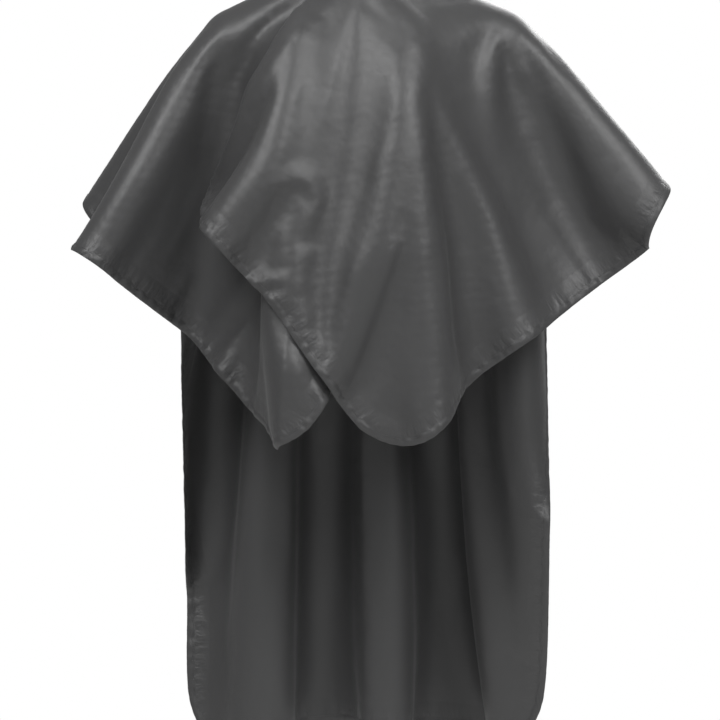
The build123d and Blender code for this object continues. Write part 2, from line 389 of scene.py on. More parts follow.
def drag(x, before, k, out, friction):
    """Takes part of the sliding of points k along a surface that faces out."""
    move = x[k] - before[k]
    x[k] -= friction * (move - out * np.einsum("ij,ij->i", move, out)[:, None])


def close_pairs(x, flat, near, apart):
    """Pairs of points nearer than near that are further than apart in the cut."""
    cell = np.floor(x / near).astype(np.int64)
    cell -= cell.min(0)
    size = cell.max(0) + 3
    key = (cell[:, 0] * size[1] + cell[:, 1]) * size[2] + cell[:, 2]
    order = np.argsort(key, kind="stable")
    ranked = key[order]
    found = []
    for step in np.ndindex(3, 3, 3):
        shift = ((step[0] - 1) * size[1] + step[1] - 1) * size[2] + step[2] - 1
        if shift < 0:
            continue
        low = np.searchsorted(ranked, key + shift, "left")
        count = np.searchsorted(ranked, key + shift, "right") - low
        i = np.repeat(np.arange(len(x)), count)
        j = order[np.repeat(low - np.cumsum(count) + count, count) + np.arange(len(i))]
        keep = (i < j) | (shift > 0)
        keep &= ((x[i] - x[j]) ** 2).sum(1) < near * near
        keep &= ((flat[i] - flat[j]) ** 2).sum(1) > apart * apart
        found.append(np.stack([i[keep], j[keep]], 1))
    return np.concatenate(found)


def point_normals(x, faces):
    normal = np.cross(x[faces[:, 1]] - x[faces[:, 0]], x[faces[:, 2]] - x[faces[:, 0]])
    total = np.zeros_like(x)
    for corner in faces.T:
        for axis in range(3):
            total[:, axis] += np.bincount(corner, normal[:, axis], len(x))
    return units(total)


def share_out(x, i, j, change, power):
    """Adds change to points i and takes it from points j, shared where pairs meet."""
    count = np.bincount(np.concatenate([i, j]), minlength=len(x))
    count = np.maximum(count, 1) ** power
    for axis in range(3):
        both = np.bincount(i, change[:, axis], len(x)) - np.bincount(j, change[:, axis], len(x))
        x[:, axis] += both / count


def keep_over(x, before, pairs, normals, step):
    """Holds the top flap's points outside the under flap's, with some friction between them."""
    i, j = pairs.T
    out, d = normals[j], x[i] - x[j]
    height = np.einsum("ij,ij->i", d, out)
    aside = np.einsum("ij,ij->i", d, d) - height * height
    k = (height < LAYER_GAP) & (aside < (0.75 * step) ** 2)
    i, j, out, height = i[k], j[k], out[k], height[k]
    slide = (x[i] - before[i]) - (x[j] - before[j])
    slide -= out * np.einsum("ij,ij->i", slide, out)[:, None]
    change = 0.5 * np.minimum(LAYER_GAP - height, 6 * MM)[:, None] * out - LAYER_DRAG * slide
    share_out(x, i, j, change, 0.5)


def push_apart(x, pairs):
    i, j = pairs.T
    d = x[i] - x[j]
    length = lengths(d)
    k = length < SELF_GAP
    i, j, d, length = i[k], j[k], d[k], length[k]
    share_out(x, i, j, 0.5 * ((SELF_GAP - length) / length)[:, None] * d, 1.0)


def nearest_on(line, points):
    a, b = line[:-1], line[1:]
    d = b - a
    t = np.einsum("pij,ij->pi", points[:, None] - a, d) / np.einsum("ij,ij->i", d, d)
    on = a + np.clip(t, 0, 1)[..., None] * d
    best = ((points[:, None] - on) ** 2).sum(-1).argmin(1)
    return on[np.arange(len(points)), best]


def led_points(flat, edge):
    """The points of the cut's edge that each outline leads."""
    nearest = np.array([np.hypot(*(flat - p).T).argmin() for p in edge])
    u, w = edge.T
    back = (w < SIDE_TURN + 0.01) & (np.hypot(u, w) > 0.12)
    panel = (w > FRONT_TURN + 0.06) & (w < CUT_FRONT - FRONT_RADIUS) & (np.abs(u) > FRONT_SIDE / 2)
    groups = (back & (u > 0), back & (u < 0), panel & (u > 0), panel & (u < 0))
    led = [np.unique(nearest[g]) for g in groups]
    for side in (1, -1):
        to_tip = np.hypot(flat[:, 0] - side * CUT_SIDE, flat[:, 1] - SIDE_TURN)
        led.append(np.array([to_tip.argmin()]))
    return led


def lead(x, led):
    """Draws the led points towards their outlines, in the plane seen from behind."""
    for k, line in zip(led, (TOP_HEM, UNDER_HEM)):
        here = x[k][:, [0, 2]]
        d = nearest_on(line, here) - here
        length = np.linalg.norm(d, axis=1)[:, None] + 1e-9
        x[k[:, None], [0, 2]] += d * LEAD * np.minimum(length, LEAD_REACH) / length
    for k, goal in zip(led[2:4], (PANEL_EDGE, -PANEL_EDGE)):
        x[k, 0] += LEAD * np.clip(goal - x[k, 0], -LEAD_REACH, LEAD_REACH)
    for k, side in zip(led[4:], (1, -1)):
        d = (side * TIPS[side][0], TIPS[side][1]) - x[k][:, [0, 2]]
        x[k[:, None], [0, 2]] += LEAD_TIP * np.clip(d, -LEAD_REACH, LEAD_REACH)


def settle(flat, faces, edge, x, step, seconds, rate, led_from):
    """Lets the cloth fall from x for a while. Its neckline stays where it is."""
    edges, across, far = find_links(flat, faces, step)
    links = [Links(edges, flat, 1.0), Links(across, flat, BEND_HOLD)]
    links.append(Links(far, flat, WIDE_HOLD, WIDE_LEAST))
    led = led_points(flat, edge)
    angle = np.arctan2(flat[:, 0], flat[:, 1])
    hole = neck_radius(angle)
    out = np.hypot(*flat.T) - hole
    held = out < 3 * MM
    free = np.where(held, 0.0, 1.0)
    anchor = hang(np.stack([hole * np.sin(angle), hole * np.cos(angle)], 1))
    reach = out * STRETCH + 2 * MM
    still = x[held].copy()
    speed = np.zeros_like(x)
    outer = (flat[:, 0] > 0) & (flat[:, 1] < 0.02)
    inner = (flat[:, 0] < 0) & (flat[:, 1] < 0.02)
    facing = np.sign((point_normals(x, faces) * x * [1, 1, 0]).sum())
    dt = 1 / rate
    for tick in range(int(seconds * rate)):
        before = x.copy()
        speed[:, 2] -= GRAVITY * dt
        speed *= 1 - AIR_DRAG * dt
        fast = np.sqrt(np.einsum("ij,ij->i", speed, speed))
        speed *= np.minimum(1, TOP_SPEED / (fast + 1e-9))[:, None]
        x = x + speed * dt
        x[held] = still
        for kind in links:
            kind.solve(x, free)
        d = x - anchor
        length = lengths(d)
        x -= d * (free * np.maximum(length - reach, 0) / length)[:, None]
        if tick % PAIR_TICKS == 0:
            pairs = close_pairs(x, flat, max(step * 1.25, 0.03), NEIGHBOURS)
            a, b = pairs.T
            over, under = outer[a] & inner[b], outer[b] & inner[a]
            crossing = np.concatenate([pairs[over], pairs[under][:, ::-1]])
            pairs = pairs[~(over | under)]
            d = x[pairs[:, 0]] - x[pairs[:, 1]]
            pairs = pairs[np.einsum("ij,ij->i", d, d) < (SELF_GAP * 1.6) ** 2]
            normals = point_normals(x, faces) * facing
        keep_over(x, before, crossing, normals, step)
        push_apart(x, pairs)
        if tick * dt > led_from:
            lead(x, led)
        x[:, 1] = np.clip(x[:, 1], DEPTH_BEHIND, DEPTH_BEFORE)
        stay_out(x, before, BODY_FRICTION)
        x[held] = still
        speed = (x - before) / dt
    return x


def flat_tree(flat, faces, side):
    """The faces on one side of the front and the slit, and a tree to look flat points up in."""
    chosen = faces[side * flat[faces, 0].sum(1) > 0]
    return chosen, BVHTree.FromPolygons([(u, w, 0) for u, w in flat], chosen.tolist())


def look_up(trees, flat, values, points, side):
    """Values at flat points, from the triangles of one side."""
    chosen, tree = trees[side]
    found = [tree.find_nearest((u, w, 0))[2] for u, w in points]
    corners = chosen[found]
    a, b, c = (flat[corners[:, k]] for k in range(3))
    to_a, to_b, to_p = a - c, b - c, points - c
    area = to_a[:, 0] * to_b[:, 1] - to_a[:, 1] * to_b[:, 0]
    share_a = (to_p[:, 0] * to_b[:, 1] - to_p[:, 1] * to_b[:, 0]) / area
    share_b = (to_a[:, 0] * to_p[:, 1] - to_a[:, 1] * to_p[:, 0]) / area
    shares = np.stack([share_a, share_b, 1 - share_a - share_b], 1)
    return np.einsum("pk,pkd->pd", shares, values[corners])


def drape():
    """The draped cloth: flat points, faces and places in the model's frame."""
    flat, faces, edge = cut_mesh(COARSE)
    x = settle(flat, faces, edge, hang(flat), COARSE, FIRST_SECONDS, FIRST_RATE, LEAD_FROM)
    finer, finer_faces, finer_edge = cut_mesh(FINE)
    trees = {side: flat_tree(flat, faces, side) for side in (-1, 1)}
    start = np.zeros((len(finer), 3))
    for side in (-1, 1):
        mine = finer[:, 0] > 0 if side > 0 else finer[:, 0] <= 0
        start[mine] = look_up(trees, flat, x, finer[mine], side)
    start = settle(finer, finer_faces, finer_edge, start, FINE, SECOND_SECONDS, SECOND_RATE, 0)
    return finer, finer_faces, start


def refined(flat, faces, x):
    """The draped mesh divided twice and smoothed: places, faces and flat points."""
    mesh = bpy.data.meshes.new("draped")
    mesh.from_pydata([tuple(p) for p in x], [], faces.tolist())
    places = mesh.uv_layers.new(name="cut").data
    corners = np.array([loop.vertex_index for loop in mesh.loops])
    places.foreach_set("uv", flat[corners].astype(np.float32).ravel())
    piece = bpy.data.objects.new("draped", mesh)
    bpy.context.scene.collection.objects.link(piece)
    divide = piece.modifiers.new("divide", "SUBSURF")
    divide.levels = divide.render_levels = 2
    divide.uv_smooth = "NONE"
    made = bpy.data.meshes.new_from_object(piece.evaluated_get(bpy.context.evaluated_depsgraph_get()))
    points = np.zeros(len(made.vertices) * 3)
    made.vertices.foreach_get("co", points)
    quads = np.zeros(len(made.loops), np.int64)
    made.loops.foreach_get("vertex_index", quads)
    uv = np.zeros(len(made.loops) * 2)
    made.uv_layers["cut"].data.foreach_get("uv", uv)
    cut = np.zeros((len(made.vertices), 2))
    cut[quads] = uv.reshape(-1, 2)
    bpy.data.objects.remove(piece)
    return tucked(points.reshape(-1, 3), cut), quads.reshape(-1, 4), cut


def tucked(points, cut):
    """The neckline brought up into the band, beside its stiffener."""
    hole = neck_radius(np.arctan2(cut[:, 0], cut[:, 1]))
    share = smooth(np.hypot(*cut.T) - hole, 0.010, 0.001)[:, None]
    reach = np.hypot(points[:, 0], points[:, 1])[:, None]
    seam = np.concatenate([points[:, :2] / reach * SEAM_RADIUS, np.full((len(points), 1), SEAM_Z)], 1)
    return points + (seam - points) * share


# ---- making pieces ------------------------------------------------------
def make_piece(name, points, faces, material, normals=None, uv=None, fields=None):
    """A smooth mesh object. normals and uv are one for each corner of each face."""
    mesh = bpy.data.meshes.new(name)
    mesh.from_pydata(np.asarray(points).tolist(), [], [list(map(int, f)) for f in faces])
    mesh.polygons.foreach_set("use_smooth", [True] * len(mesh.polygons))
    if uv is not None:
        mesh.uv_layers.new(name="cut").data.foreach_set("uv", np.asarray(uv, np.float32).ravel())
    for key, values in (fields or {}).items():
        field = mesh.attributes.new(key, "FLOAT", "POINT")
        field.data.foreach_set("value", np.asarray(values, np.float32))
    if normals is not None:
        mesh.normals_split_custom_set(np.asarray(normals).tolist())
    mesh.materials.append(material)
    piece = bpy.data.objects.new(name, mesh)
    bpy.context.scene.collection.objects.link(piece)
    return piece


def rim_edges(faces):
    """Directed edges that only one face has."""
    count = {}
    for face in faces.tolist():
        for a, b in zip(face, face[1:] + face[:1]):
            count[(a, b)] = count.get((a, b), 0) + 1
    return [(a, b) for a, b in count if (b, a) not in count]


def thick_sheet(name, points, normals, faces, flat, fields, material):
    """A sheet with its real thickness, whose corners keep the whole cloth's normals."""
    used, faces = np.unique(faces, return_inverse=True)
    faces = faces.reshape(-1, 4)
    p, n, f = points[used], normals[used], flat[used]
    size = len(used)
    both = np.concatenate([p + n * SHEET_THICKNESS / 2, p - n * SHEET_THICKNESS / 2])
    rim = np.array([(b, a, a + size, b + size) for a, b in rim_edges(faces)])
    across = np.concatenate([faces, faces[:, ::-1] + size, rim])
    corner_normals = np.concatenate([n[faces.ravel()], -n[faces[:, ::-1].ravel()]])
    a, b = p[rim[:, 1]], p[rim[:, 0]]
    out = units(np.cross(b - a, n[rim[:, 1]]))
    corner_normals = np.concatenate([corner_normals, np.repeat(out, 4, 0)])
    uv = np.concatenate([f, f])[across.ravel()]
    doubled = {key: np.concatenate([values[used]] * 2) for key, values in fields.items()}
    return make_piece(name, both, across, material, corner_normals, uv, doubled)


def edge_fields(flat, edge):
    """Distance of each flat point from the cut's edge, and how far along the edge that is."""
    along = np.concatenate([[0], np.cumsum(np.hypot(*np.diff(edge, axis=0).T))])
    nearest = np.zeros(len(flat), int)
    for part in np.array_split(np.arange(len(flat)), 40):   # a block at a time, to spare memory
        d = flat[part, None] - edge
        nearest[part] = (d * d).sum(-1).argmin(1)
    return np.hypot(*(flat - edge[nearest]).T), along[nearest]


def band_grid(shape, closed_rows=False, closed_columns=False):
    """Quads of a grid of points, numbered row by row. shape: rows and columns."""
    count, width = shape
    faces = []
    for i in range(count if closed_rows else count - 1):
        for j in range(width if closed_columns else width - 1):
            k, m = (i + 1) % count, (j + 1) % width
            faces.append((i * width + j, i * width + m, k * width + m, k * width + j))
    return faces


def ripple(x, y, seed):
    return noise.noise(Vector((x, y, seed)))


def stitch_row(name, centres, along, up, length=2.4 * MM):
    """Short raised threads, one for each centre."""
    width, height = 0.5 * MM, 0.35 * MM
    aside = np.cross(up, along)
    points, faces = [], []
    for c, a, s, n in zip(centres, along, aside, up):
        base = len(points)
        for lift, share in ((-0.3, 1.0), (1.0, 0.62)):
            for i, j in ((-1, -1), (1, -1), (1, 1), (-1, 1)):
                spot = c + a * i * length * share / 2 + s * j * width * share / 2
                points.append(spot + n * height * lift)
        faces += [(base + 3, base + 2, base + 1, base), (base + 4, base + 5, base + 6, base + 7)]
        faces += [(base + k, base + (k + 1) % 4, base + 4 + (k + 1) % 4, base + 4 + k) for k in range(4)]
    return make_piece(name, points, faces, thread)


# ---- materials ----------------------------------------------------------
class Nodes:
    """A material and its shader, with short calls to add and link nodes."""

    def __init__(self, name, colour, roughness, **sockets):
        self.material = bpy.data.materials.new(name)
        self.material.use_nodes = True
        self.tree = self.material.node_tree
        self.shader = self.tree.nodes["Principled BSDF"]
        self.shader.inputs["Base Color"].default_value = (*colour, 1)
        self.shader.inputs["Roughness"].default_value = roughness
        for key, value in sockets.items():
            self.shader.inputs[key.replace("_", " ")].default_value = value

    def add(self, kind, inputs=None, **settings):
        node = self.tree.nodes.new("ShaderNode" + kind)
        for key, value in settings.items():
            setattr(node, key, value)
        for key, value in (inputs or {}).items():
            if isinstance(value, bpy.types.NodeSocket):
                self.tree.links.new(value, node.inputs[key])
            else:
                node.inputs[key].default_value = value
        return node

    def math(self, operation, a, b=0.0, c=0.0):
        return self.add("Math", {0: a, 1: b, 2: c}, operation=operation).outputs[0]

    def stretched(self, source, scale):
        return self.add("Mapping", {"Vector": source, "Scale": scale}).outputs[0]

    def noise(self, source, scale, detail=3.0, **settings):
        node = self.add("TexNoise", {"Vector": source, "Scale": scale, "Detail": detail}, **settings)
        return node.outputs["Fac"] if "Fac" in node.outputs else node.outputs[0]

    def ramp(self, value, low, high, bottom, top):
        inputs = {"Value": value, "From Min": low, "From Max": high, "To Min": bottom, "To Max": top}
        return self.add("MapRange", inputs).outputs["Result"]

    def bump(self, height, distance, strength, before=None):
        inputs = {"Height": height, "Distance": distance, "Strength": strength}
        if before is not None:
            inputs["Normal"] = before
        return self.add("Bump", inputs).outputs["Normal"]

    def link(self, value, socket):
        self.tree.links.new(value, self.shader.inputs[socket])

    def shade(self, colour, fac, low, high):
        """Base colour between two strengths of one colour, by fac."""
        mix = self.add("Mix", {"Factor": fac}, data_type="RGBA")
        mix.inputs["A"].default_value = (*[c * low for c in colour], 1)
        mix.inputs["B"].default_value = (*[c * high for c in colour], 1)
        self.link(mix.outputs["Result"], "Base Color")


WEAVE_PITCH = 0.5 * MM
WAVE_PERIOD = math.pi / 10      # of Blender's wave texture at scale 1


def taffeta(name, colour, roughness, puckered):
    """Thin plain-woven cloth with a soft gloss, faint creases and slubs. puckered: near its hem."""
    n = Nodes(name, colour, roughness, Sheen_Weight=0.12, Sheen_Roughness=0.35, Specular_IOR_Level=0.55)
    cut = n.add("UVMap", uv_map="cut").outputs["UV"]
    threads = []
    for direction in ("X", "Y"):
        inputs = {"Vector": cut, "Scale": WAVE_PERIOD / WEAVE_PITCH}
        threads.append(n.add("TexWave", inputs, bands_direction=direction).outputs["Fac"])
    weave = n.math("ADD", *threads)
    warp = n.noise(n.stretched(cut, (1400, 60, 1)), 1.0, 2.0)
    weft = n.noise(n.stretched(cut, (45, 1600, 1)), 1.0, 2.0)
    slubs = n.math("ADD", warp, weft)
    creases = n.noise(cut, 9.0, 5.0, noise_dimensions="2D")
    waves = n.noise(n.stretched(cut, (5.0, 2.2, 1)), 1.0, 2.0)
    normal = n.bump(waves, 0.010, 0.55)
    normal = n.bump(creases, 0.0045, 0.5, normal)
    if puckered:
        near = n.add("Attribute", attribute_name="hem_near").outputs["Fac"]
        along = n.add("Attribute", attribute_name="hem_along").outputs["Fac"]
        place = {"X": n.math("MULTIPLY", along, 85.0), "Y": n.math("MULTIPLY", near, 26.0)}
        gathers = n.noise(n.add("CombineXYZ", place).outputs[0], 1.0, 2.0)
        share = n.ramp(near, 0.034, 0.009, 0.0, 1.0)
        normal = n.bump(n.math("MULTIPLY", gathers, share), 0.0042, 0.8, normal)
    normal = n.bump(slubs, 0.00012, 0.5, normal)
    normal = n.bump(weave, 0.00006, 0.35, normal)
    n.link(normal, "Normal")
    n.link(n.ramp(slubs, 0.6, 1.4, roughness - 0.05, roughness + 0.06), "Roughness")
    patches = n.math("MULTIPLY", n.noise(cut, 3.0, 3.0), 0.3)
    n.shade(colour, n.math("ADD", n.math("MULTIPLY", slubs, 0.35), patches), 0.86, 1.14)
    return n.material


def band_cloth(name, colour):
    """The same cloth over a stiffener: woven, flatter, slightly creased round the neck."""
    n = Nodes(name, colour, 0.46, Sheen_Weight=0.12, Sheen_Roughness=0.35)
    place = n.add("TexCoord").outputs["Object"]
    creases = n.noise(n.stretched(place, (90, 90, 240)), 1.0, 3.0)
    threads = n.noise(n.stretched(place, (700, 700, 2600)), 1.0, 2.0)
    normal = n.bump(creases, 0.0006, 0.5)
    n.link(n.bump(threads, 0.0001, 0.5, normal), "Normal")
    n.link(n.ramp(threads, 0.3, 0.7, 0.40, 0.54), "Roughness")
    n.shade(colour, threads, 0.85, 1.15)
    return n.material


def grained(name, colour, roughness, grain, detail, bump, shades, spread=None, **sockets):
    """A material with one fine grain: its noise scale by axis, its bump's distance and strength,
    how much it darkens and lightens the colour, and how it spreads the roughness."""
    n = Nodes(name, colour, roughness, **sockets)
    place = n.add("TexCoord").outputs["Object"]
    pattern = n.noise(n.stretched(place, grain), 1.0, detail)
    n.link(n.bump(pattern, *bump), "Normal")
    if spread:
        n.link(n.ramp(pattern, 0.3, 0.7, *spread), "Roughness")
    n.shade(colour, pattern, *shades)
    return n.material


def resin(name, colour):
    n = Nodes(name, colour, 0.28, Coat_Weight=0.15, Coat_Roughness=0.15)
    place = n.add("TexCoord").outputs["Object"]
    skin = n.noise(place, 900.0, 3.0)
    n.link(n.bump(skin, 0.00005, 0.4), "Normal")
    n.link(n.ramp(skin, 0.3, 0.7, 0.22, 0.36), "Roughness")
    n.shade(colour, n.noise(place, 160.0, 2.0), 0.8, 1.25)
    return n.material


CLOTH_COLOUR = (0.060, 0.060, 0.061)
cloth = taffeta("cape_taffeta", CLOTH_COLOUR, 0.40, True)
hem_cloth = taffeta("hem_taffeta", tuple(0.94 * c for c in CLOTH_COLOUR), 0.43, False)
band = band_cloth("band_taffeta", tuple(0.92 * c for c in CLOTH_COLOUR))
thread = grained("thread", (0.050, 0.050, 0.052), 0.6, (3000, 3000, 5200), 1.0, (0.00008, 0.7),
                 (0.8, 1.3), Sheen_Weight=0.3, Sheen_Roughness=0.4)
snap_resin = resin("snap_resin", (0.020, 0.020, 0.021))
label_tape = grained("label_satin", (0.72, 0.72, 0.69), 0.42, (2600, 300, 200), 2.0, (0.0001, 0.6),
                     (0.92, 1.06), (0.35, 0.5), Sheen_Weight=0.2, Sheen_Roughness=0.3)
PLAIN = dict(grain=(40, 40, 40), detail=4.0, bump=(0.0005, 0.3), shades=(0.97, 1.03))
stiffener = grained("stiffener_fleece", (0.62, 0.62, 0.60), 0.8, **PLAIN)


GATHER_REACH, GATHER_FULL = 0.028, 0.008    # the ridges end and are full this far from the edge
CREASE_TOP, CREASE_LOW = (-0.100, -0.500), (-0.108, -0.655)     # as (x, z)
CREASE_HEIGHT, CREASE_HALF = 11 * MM, 0.034


def gathers(near, along, cut):
    """Height of the small ridges that the tight hem draws up beside it, less on the front panel."""
    height = np.zeros(len(near))
    for k in np.flatnonzero(near < GATHER_REACH):
        s, d = float(along[k]), float(near[k])
        tight = max(0.15, 0.55 + 1.1 * ripple(s * 5, 0, 21)) * (0.3 if cut[k, 1] > SIDE_TURN else 1)
        ridges = 1.7 * ripple(s * 66, d * 16, 11) + 1.6 * ripple(s * 140, d * 36, 12)
        share = smooth(d, GATHER_REACH, GATHER_FULL)
        height[k] = tight * ridges * MM * share * smooth(math.hypot(*cut[k]), 0.07, 0.11)
    return height


def crease(x, cut):
    """Height of the sharp crease down to the under flap's point, pressed in by packing."""
    slope = (CREASE_LOW[0] - CREASE_TOP[0]) / (CREASE_LOW[1] - CREASE_TOP[1])
    line = CREASE_TOP[0] + (x[:, 2] - CREASE_TOP[1]) * slope
    ridge = np.clip(1 - np.abs(x[:, 0] - line) / CREASE_HALF, 0, 1)
    on_flap = (cut[:, 0] < 0) & (cut[:, 1] < -0.2)
    return CREASE_HEIGHT * ridge * smooth(x[:, 2], -0.46, -0.56) * on_flap


def hem_run(step):
    """The whole hem, from the top flap round the front to the under flap: flat points,
    directions inward, and the side of the slit that each is on."""
    right, left = half_edge(1, step), half_edge(-1, step)
    line = np.concatenate([right, left[-2::-1]])
    sides = np.repeat([1, -1], [len(right), len(left) - 1])
    ahead = units(np.gradient(line, axis=0))
    return line, np.stack([-ahead[:, 1], ahead[:, 0]], 1), sides


# ---- the cloth ----------------------------------------------------------
HEM_STEP = 2.5 * MM
STITCH_PITCH = 3.4 * MM
flat, triangles, draped = drape()
points, quads, cut = refined(flat, triangles, draped)
if (point_normals(points, quads[:, :3]) * points * [1, 1, 0]).sum() < 0:
    quads = quads[:, ::-1]
halves = np.concatenate([quads[:, [0, 1, 2]], quads[:, [0, 2, 3]]])
coarse_run, stitch_run = hem_run(HEM_STEP), hem_run(STITCH_PITCH)
near, along = edge_fields(cut, coarse_run[0])
points += point_normals(points, halves) * (gathers(near, along, cut) + crease(points, cut))[:, None]
outward = point_normals(points, halves)
fields = {"hem_near": near, "hem_along": along}
trees = {side: flat_tree(cut, halves, side) for side in (1, -1)}

# The right back quarter is one piece, the rest another. They share the points and the normals
centres = cut[quads].mean(1)
behind = (centres[:, 0] > 0) & (centres[:, 1] < 0)
quarter_cloth = thick_sheet("right_back_cloth", points, outward, quads[behind], cut, fields, cloth)
main_cloth = thick_sheet("cape_cloth", points, outward, quads[~behind], cut, fields, cloth)

# Hem: the edge turned twice and stitched. Rows as (distance in from the edge, height), in mm,
# over the outside and back on the inside
HEM_OUTSIDE = [
    (11.5, 0.26), (10.0, 0.50), (8.9, 0.62), (7.6, 1.00), (5.0, 1.25), (2.2, 1.15), (0.3, 0.80),
    (-0.4, 0.30),
]
HEM_PROFILE = HEM_OUTSIDE + [(inset, -height) for inset, height in reversed(HEM_OUTSIDE)]
STITCH_INSET = 8.9 * MM
STITCH_RISE = 0.72 * MM


def on_cloth(spots, sides):
    """Places and outward normals of flat spots on the draped cloth."""
    values = np.zeros((len(spots), 6))
    for side in (1, -1):
        mine = sides == side
        if mine.any():
            values[mine] = look_up(trees, cut, np.concatenate([points, outward], 1), spots[mine], side)
    return values[:, :3], units(values[:, 3:])


def hem_strip(name, run, chosen):
    """The turned edge along the chosen part of a run, puckered by its stitching."""
    line, inward, sides = run
    travel = np.arange(len(line)) * HEM_STEP
    calm = 1 - 0.7 * smooth(line[:, 1], SIDE_TURN, SIDE_TURN + 0.03)
    slow = np.array([ripple(s * 60, 2.0, 1) for s in travel])
    rows, uvs = [], []
    for inset, height in HEM_PROFILE:
        inset, height = inset * MM, height * MM
        place, up = on_cloth(line + inward * max(inset, 0), sides)
        if inset < 0:
            further, _ = on_cloth(line + inward * 3 * MM, sides)
            place -= (further - place) * (-inset / (3 * MM))
        swell = np.array([ripple(s * 110, inset * 60, 3 + (height > 0)) for s in travel])
        body = min(1.0, (12 * MM - inset) / (4 * MM))
        rise = height * (1 + 1.3 * body * calm * swell) + 1.4 * MM * body * calm * slow
        rows.append((place + up * rise[:, None])[chosen])
        uvs.append((line + inward * inset)[chosen])
    grid = np.array(rows)
    faces = np.array(band_grid(grid.shape[:2]))[:, ::-1]
    uv = np.concatenate(uvs)[faces.ravel()]
    return make_piece(name, grid.reshape(-1, 3), faces, hem_cloth, uv=uv)


def hem_stitches(name, run, chosen):
    """Its row of stitches, on the outside and the inside."""
    line, inward, sides = run
    place, up = on_cloth(line + inward * STITCH_INSET, sides)
    ahead = units(np.gradient(place, axis=0))
    place, up, ahead = place[chosen], up[chosen], ahead[chosen]
    spots = np.concatenate([place + up * STITCH_RISE, place - up * STITCH_RISE])
    return stitch_row(name, spots, np.concatenate([ahead, ahead]), np.concatenate([up, -up]))


def parted(run):
    """Slices of a run: beside the right back quarter, and the rest. They meet at one point."""
    line, _, sides = run
    at = int(np.flatnonzero((line[:, 1] > 0) & (sides > 0))[0])
    return slice(0, at + 1), slice(at, len(line))


first, second = parted(coarse_run)
quarter_hem = hem_strip("right_back_hem_band", coarse_run, first)
main_hem = hem_strip("cape_hem_band", coarse_run, second)
first, second = parted(stitch_run)
quarter_threads = hem_stitches("right_back_hem_stitching", stitch_run, slice(1, first.stop))
main_threads = hem_stitches("cape_hem_stitching", stitch_run, slice(second.start + 1, second.stop - 1))

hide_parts("right_back_panel", "top_flap")
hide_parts("shoulder_yoke", "front_panel", "under_flap", "right_drape", "left_drape")
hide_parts("right_back_hem", "top_flap_hem")
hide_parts("front_hem", "under_flap_hem", "right_side_hem", "left_side_hem")

# The rest of the cloth is attached to the cape's body; the right back quarter is attached to none
for piece in (quarter_cloth, quarter_hem, quarter_threads):
    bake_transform(piece)
for piece in (main_cloth, main_hem, main_threads):
    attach(piece, "cape")


# ---- neckband: one strip of cloth folded over a stiffener ----------------
COVER = 0.8 * MM
STITCH_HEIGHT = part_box("neckband_stitching")[0].z + 0.2 * MM


def band_swell(angle, r, z):
    """The cover puffs a little either side of its row of stitches, most where it is free."""
    if r < band_outer - 0.6 * MM:
        return 0.0
    gap = min(abs(z - STITCH_HEIGHT) / (5 * MM), 1)
    free = min((band_high - z) / (6 * MM), 1)
    return gap * free * (0.12 + 0.22 * ripple(angle * 14, z * 120, 5)) * MM


def folded_top(height, rise, count):
    """Profile points over the band's folded top, from outside to inside."""
    middle, half = (band_inner + band_outer) / 2, (band_outer - band_inner) / 2
    turns = np.linspace(0, math.pi, count)
    return [(middle + half * math.cos(a), height + rise * math.sin(a)) for a in turns]


heights = list(np.linspace(band_low + 0.5 * MM, band_high - 2.4 * MM, 14))
outer_skin = [(band_outer - 0.5 * MM, band_low), (band_outer - 0.12 * MM, band_low + 0.12 * MM)]
outer_skin += [(band_outer, z) for z in heights]
over_top = folded_top(band_high - 1.5 * MM, 1.5 * MM, 9)
inner_skin = [(band_inner, z) for z in heights[::-1]]
inner_skin += [(band_inner + 0.12 * MM, band_low + 0.12 * MM), (band_inner + 0.5 * MM, band_low)]
pocket = [(band_inner + COVER, band_low + 0.4 * MM), (band_inner + COVER, band_high - COVER),
          (band_outer - COVER, band_high - COVER), (band_outer - COVER, band_low + 0.4 * MM)]
turns = np.linspace(0, 2 * math.pi, 361)[:-1]
rings = []
for r, z in outer_skin + over_top + inner_skin + pocket:
    at = r + np.array([band_swell(a, r, z) for a in turns])
    rings.append(np.stack([at * np.sin(turns), at * np.cos(turns), np.full(len(turns), z)], 1))
grid = np.array(rings)
neck_cover = make_piece("neckband_cover", grid.reshape(-1, 3), band_grid(grid.shape[:2], True, True),
                        band)
neck_cover.data.flip_normals()
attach(neck_cover, "cape")
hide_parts("neckband")

# ---- the band's outer end: a strap whose tip peels off ------------------
lap_low, lap_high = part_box("neckband_overlap")[0].z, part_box("neckband_overlap")[1].z
LAP_INNER = band_outer + 0.7 * MM
LAP_OUTER = LAP_INNER + 2.5 * MM
LAP_START, LAP_END = math.radians(150.0), math.radians(258.0)
TIP_RADIUS, SEWN_RADIUS = 6.0 * MM, 1.2 * MM
# Rings round the rounded ends, closer together towards the end, as shares of the radius
SEWN_RINGS = (0, 0.1, 0.3, 0.6)
TIP_RINGS = (1, 0.8, 0.6, 0.42, 0.27, 0.15, 0.06, 0.015, 0)


def around(angle, r, z):
    return np.array((r * math.sin(angle), r * math.cos(angle), z))


def lap_half_height(angle):
    """Half height of the strap, less at its rounded tip and sewn end."""
    half = (lap_high - lap_low) / 2
    from_tip = (LAP_END - angle) * LAP_OUTER
    from_start = (angle - LAP_START) * LAP_OUTER
    for gap, radius in ((from_tip, TIP_RADIUS), (from_start, SEWN_RADIUS)):
        if gap < radius:
            half -= radius - math.sqrt(max(radius ** 2 - (radius - gap) ** 2, 0))
    return half


